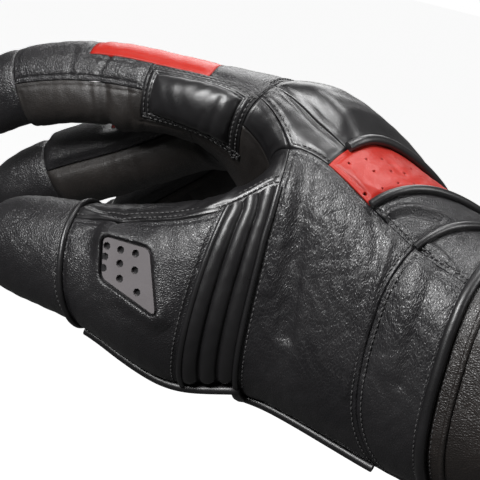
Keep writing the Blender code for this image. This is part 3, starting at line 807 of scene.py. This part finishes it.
def outline(margin):
    """The outline of the insert, moved outwards."""
    out = []
    for before, here, after in zip(hull[-1:] + hull[:-1], hull, hull[1:] + hull[:1]):
        way = (after - before).normalized()
        out.append(here + Vector((way.y, -way.x)) * margin)
    return out


def insert_rim(place):
    """How far outside the opening of the insert a place is, and the nearest place on its edge."""
    spot = Vector(((place - plate_middle).dot(plate_across), (place - plate_middle).dot(plate_up)))
    best = None
    outside = False
    edge = outline(INSERT_EDGE)
    for start, end in zip(edge, edge[1:] + edge[:1]):
        way = end - start
        near = start + way * max(0, min(1, (spot - start).dot(way) / way.length_squared))
        if Vector((way.y, -way.x)).dot(spot - start) > 0:
            outside = True
        if best is None or (near - spot).length < (best - spot).length:
            best = near
    gap = (best - spot).length * (1 if outside else -1)
    height = (place - plate_middle).dot(plate_out)
    return gap, plate_middle + plate_across * best.x + plate_up * best.y + plate_out * height


def insert_bed(place):
    """How far the leather moves at a place, so that it lies level round the insert."""
    if (place - plate_middle).length > BED_REACH:
        return Vector()
    gap = max(0, insert_rim(place)[0])
    height = (place - plate_middle).dot(plate_out)
    return plate_out * (plate_top + LEATHER_OVER_PLATE - height) * exp(-(gap / BED_FADE) ** 2)


shape("thumb_middle", cuts=1, bed_of=insert_bed, holes=[(plate_middle, insert_rim)])

for name in PANEL_NODES:
    if name not in shaped:
        shape_panel(name)


# Thread: bonded black thread in a lockstitch, in rows beside the seams.
thread = bpy.data.materials.new("thread")
shader, add, join = nodes_of(thread)
shader.inputs["Roughness"].default_value = 0.55
twist = add("ShaderNodeTexWave", Scale=900, Distortion=1.5)
join(add("ShaderNodeTexCoord").outputs["Object"], twist.inputs["Vector"])
tint = add("ShaderNodeMix", data_type="RGBA")
tint.inputs["A"].default_value = (.012, .012, .013, 1)
tint.inputs["B"].default_value = (.050, .048, .048, 1)
join(twist.outputs["Fac"], tint.inputs["Factor"])
join(tint.outputs["Result"], shader.inputs["Base Color"])

STITCH_PITCH = 0.0018
STITCH_RADIUS = 0.00027


one_stitch = bmesh.new()
bmesh.ops.create_uvsphere(one_stitch, u_segments=6, v_segments=5, radius=1,
                          matrix=Matrix.Rotation(pi / 2, 4, "Y"))
STITCH_POINTS = [vert.co.copy() for vert in one_stitch.verts]
STITCH_FACES = [[vert.index for vert in face.verts] for face in one_stitch.faces]


def stitches(name, lines, lift=0.0003):
    """Rows of stitches along lines on the skin, in one piece."""
    points = []
    faces = []
    for line in lines:
        spots = resampled(line, STITCH_PITCH)
        for start, end in zip(spots, spots[1:]):
            middle, out = on_skin(start.lerp(end, 0.5))
            along = (end - start).normalized() * STITCH_PITCH * 0.40
            side = out.cross(along).normalized() * STITCH_RADIUS
            up = along.cross(side).normalized() * STITCH_RADIUS
            first = len(points)
            points += [middle + out * lift + along * point.x + side * point.y + up * point.z
                       for point in STITCH_POINTS]
            faces += [[first + number for number in face] for face in STITCH_FACES]
    data = bpy.data.meshes.new(name)
    data.from_pydata(points, [], faces)
    data.shade_smooth()
    data.materials.append(thread)
    piece = bpy.data.objects.new(name, data)
    bpy.context.scene.collection.objects.link(piece)
    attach(piece, "root")
    return piece


def beside(line, offset):
    """A line on the skin at a distance from a seam, on its first side."""
    return [on_skin(place + way_in * offset)[0] for place, out, way_in in line]


# Each row is two groups of panels and how far from their seam, into the first, the stitches run
rows = []
for first, second, offsets in (
        (("thumb_tip",), ("thumb_middle", "thumb_inner", "web_patch"), (0.0022,)),
        (("web_patch",), ("thumb_middle", "stretch_panel"), (0.0014, 0.0034)),
        (("thumb_middle",), ("stretch_panel",), (0.0026,)),
        (("side_panel",), ("stretch_panel",), (0.0022,)),
        (("wrist_panel",), ("side_panel",), (0.0016,)),
        (("side_panel",), ("wrist_panel",), (0.0016,)),
        (("wrist_panel", "wrist_strap"), ("cuff", "closure_tab"), (0.0028,)),
        (("cuff", "closure_tab"), ("wrist_panel", "wrist_strap", "palm_panel", "outer_side_panel"),
         (0.0026,)),
        (("knuckle_patch",), ("index_back", "index_front", "index_side_panel", "finger_back_panel",
                              "index_accent", "palm_panel"), (0.0013, 0.0030)),
        (("strap_panel", "wrist_strap"), ("side_panel", "wrist_panel"), (0.0015,)),
        (("finger_back_panel",), ("knuckle_guard",), (0.0018,)),
        (("guard_strip",), ("side_panel", "index_side_panel"), (0.0014,))):
    line, closed = seam(first, second)
    for offset in offsets:
        rows.append(beside(line, offset))
stitches("seam_stitching", rows)


# Pipings: strips of thin leather rolled over a cord and sewn into the seams.
def tube(name, points, radius, closed, finish, node=None):
    """A round piping along a line, which may stand for a solid of the frame."""
    curve = bpy.data.curves.new(name, "CURVE")
    curve.dimensions = "3D"
    curve.bevel_depth = radius
    curve.bevel_resolution = 3
    curve.use_fill_caps = not closed
    spline = curve.splines.new("POLY")
    spline.points.add(len(points) - 1)
    for spot, point in zip(spline.points, points):
        spot.co = (*point, 1)
    spline.use_cyclic_u = closed
    made = bpy.data.objects.new(name, curve)
    data = bpy.data.meshes.new_from_object(made)
    data.name = name
    bpy.data.objects.remove(made, do_unlink=True)
    data.materials.append(finish)
    data.shade_smooth()
    piece = bpy.data.objects.new(name, data)
    bpy.context.scene.collection.objects.link(piece)
    if node:
        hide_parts(node)
    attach(piece, "root")
    return piece


def piping(name, first, second, radius, sink, finish=smooth_black, ends=0.0, shift=0.0):
    """A piping on the seam between two groups of panels."""
    line, closed = seam(first, second)
    points = [on_skin(place + way_in * shift)[0] + out * (radius - sink) for place, out, way_in in line]
    points = resampled(points, 0.0012, closed)
    if ends:
        cut = round(ends / 0.0012)
        points = points[cut:-cut]
    tube(name + "_leather", points, radius, closed, finish, name)


WELT_RADIUS = 0.0010
THIN_PIPING_SHIFT = 0.0065
THIN_PIPING_LIFT = 0.0007
HAND_SIDE = ("wrist_strap", "wrist_panel", "outer_side_panel", "palm_panel")
piping("cuff_piping", ("cuff", "closure_tab"), HAND_SIDE, 0.0018, 0.0004)
piping("thumb_welt", ("thumb_tip",), ("thumb_middle", "thumb_inner", "web_patch"), 0.0010, 0.0003)
piping("palm_edge_piping", ("side_panel", "stretch_panel", "thumb_middle"),
       ("palm_panel", "thumb_inner"), 0.0016, 0.0004, ends=0.002)
piping("stretch_welt_rear", ("stretch_panel",), ("side_panel",), 0.0010, 0.0003)
piping("stretch_welt_front", ("stretch_panel",), ("thumb_middle",), 0.0010, 0.0003)
piping("strap_binding", ("strap_panel",), ("red_back_panel",), 0.0014, 0.0005)
piping("strap_binding_low", ("strap_panel",), ("wrist_strap",), 0.0013, 0.0005)
piping("guard_roll", ("knuckle_guard",), ("red_back_panel",), 0.0017, 0.0005)
thin_line, closed = seam(("cuff",), ("wrist_panel", "outer_side_panel", "palm_panel", "wrist_strap"))
thin_points = [on_skin(place + way_in * THIN_PIPING_SHIFT)[0] + out * THIN_PIPING_LIFT
               for place, out, way_in in thin_line]
tube("cuff_piping_thin_leather", thin_points, WELT_RADIUS, False, cuff_black, "cuff_piping_thin")


# The insert: a moulded plate of grey rubber with nine holes, in an opening of the thumb whose
# edge is turned in and stitched all round; a black sheet under it is painted shade round the plate.
insert_rubber = leather("insert_rubber", (.088, .080, .083), (.125, .116, .120), rough=0.52,
                        grain=0.0004, depth=0.00001, crease=0.00003, fold=0.0001)
plate = frame["nodes"]["thumb_insert"]
plate.data.materials.clear()
plate.data.materials.append(insert_rubber)
# A black sheet under the plate closes the opening. Its black is painted shade, standing for the shadowed
# bevel of the moulding round the plate.
BACKING_AND_SHADE_MARGIN = 0.0008
BACKING_AND_SHADE_DEPTH = 0.0014
BORDER_SHIFT = 0.0013
BORDER_LIFT = 0.0003
backing_and_shade = bmesh.new()
for spot in outline(INSERT_EDGE + BACKING_AND_SHADE_MARGIN):
    backing_and_shade.verts.new(plate_middle + plate_across * spot.x + plate_up * spot.y
                      + plate_out * (plate_top - BACKING_AND_SHADE_DEPTH))
bmesh.ops.contextual_create(backing_and_shade, geom=backing_and_shade.verts)
backing_and_shade_data = bpy.data.meshes.new("insert_backing_and_painted_shade")
backing_and_shade.to_mesh(backing_and_shade_data)
backing_and_shade.free()
# Painted shade: the sheet gets the black leather to stand for the shadowed bevel round the plate
backing_and_shade_data.materials.append(smooth_black)
backing_and_shade_piece = bpy.data.objects.new("insert_backing_and_painted_shade", backing_and_shade_data)
bpy.context.scene.collection.objects.link(backing_and_shade_piece)
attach(backing_and_shade_piece, "root")
border = [on_skin(plate_middle + plate_across * spot.x + plate_up * spot.y + plate_out * plate_top)[0]
          + plate_out * BORDER_LIFT for spot in outline(INSERT_EDGE + BORDER_SHIFT)]
stitches("insert_stitching", [border + border[:1]])


# The stage: a plain pale floor far below, and soft studio light.
floor_mesh = bmesh.new()
bmesh.ops.create_grid(floor_mesh, x_segments=1, y_segments=1, size=40)
bmesh.ops.translate(floor_mesh, verts=floor_mesh.verts, vec=(0, 0, -0.45))
floor_data = bpy.data.meshes.new("floor")
floor_mesh.to_mesh(floor_data)
floor_mesh.free()
floor = bpy.data.objects.new("floor", floor_data)
bpy.context.scene.collection.objects.link(floor)
floor_paint = bpy.data.materials.new("floor_paint")
shader, add, join = nodes_of(floor_paint)
shader.inputs["Base Color"].default_value = (.92, .92, .92, 1)
shader.inputs["Roughness"].default_value = 0.9
shader.inputs["Emission Color"].default_value = (1, 1, 1, 1)
shader.inputs["Emission Strength"].default_value = 0.86
floor_data.materials.append(floor_paint)
floor.visible_diffuse = False
floor.visible_glossy = False

world = bpy.data.worlds.new("studio")
bpy.context.scene.world = world
world.use_nodes = True
backdrop = world.node_tree.nodes["Background"]
backdrop.inputs["Color"].default_value = (1, 1, 1, 1)
softness = world.node_tree.nodes.new("ShaderNodeMapRange")
softness.inputs["To Min"].default_value = 0.10
softness.inputs["To Max"].default_value = 1.0
looked_at = world.node_tree.nodes.new("ShaderNodeLightPath")
world.node_tree.links.new(looked_at.outputs["Is Camera Ray"], softness.inputs["Value"])
world.node_tree.links.new(softness.outputs["Result"], backdrop.inputs["Strength"])
bpy.context.scene.view_settings.view_transform = "Standard"

GLOVE_MIDDLE = Vector((-0.11, -0.02, 0.01))


def lamp(name, right, up, near, far, size, power):
    """A square softbox, placed as seen by the camera, that looks at the glove."""
    way = (CAMERA_RIGHT * right + CAMERA_UP * up + CAMERA_BACK * near).normalized()
    light = bpy.data.lights.new(name, "AREA")
    light.shape = "SQUARE"
    light.size = size
    light.energy = power
    made = bpy.data.objects.new(name, light)
    turned = way.to_track_quat("Z", "Y").to_matrix().to_4x4()
    made.matrix_world = Matrix.Translation(GLOVE_MIDDLE + way * far) @ turned
    bpy.context.scene.collection.objects.link(made)


lamp("key", -0.38, 0.50, 0.75, 0.75, 0.28, 11)
lamp("top", 0.35, 0.85, 0.20, 0.75, 0.30, 5)
lamp("side", 0.92, 0.20, 0.25, 0.75, 0.30, 3)
lamp("back", 0.10, 0.75, -0.60, 0.80, 0.50, 4)
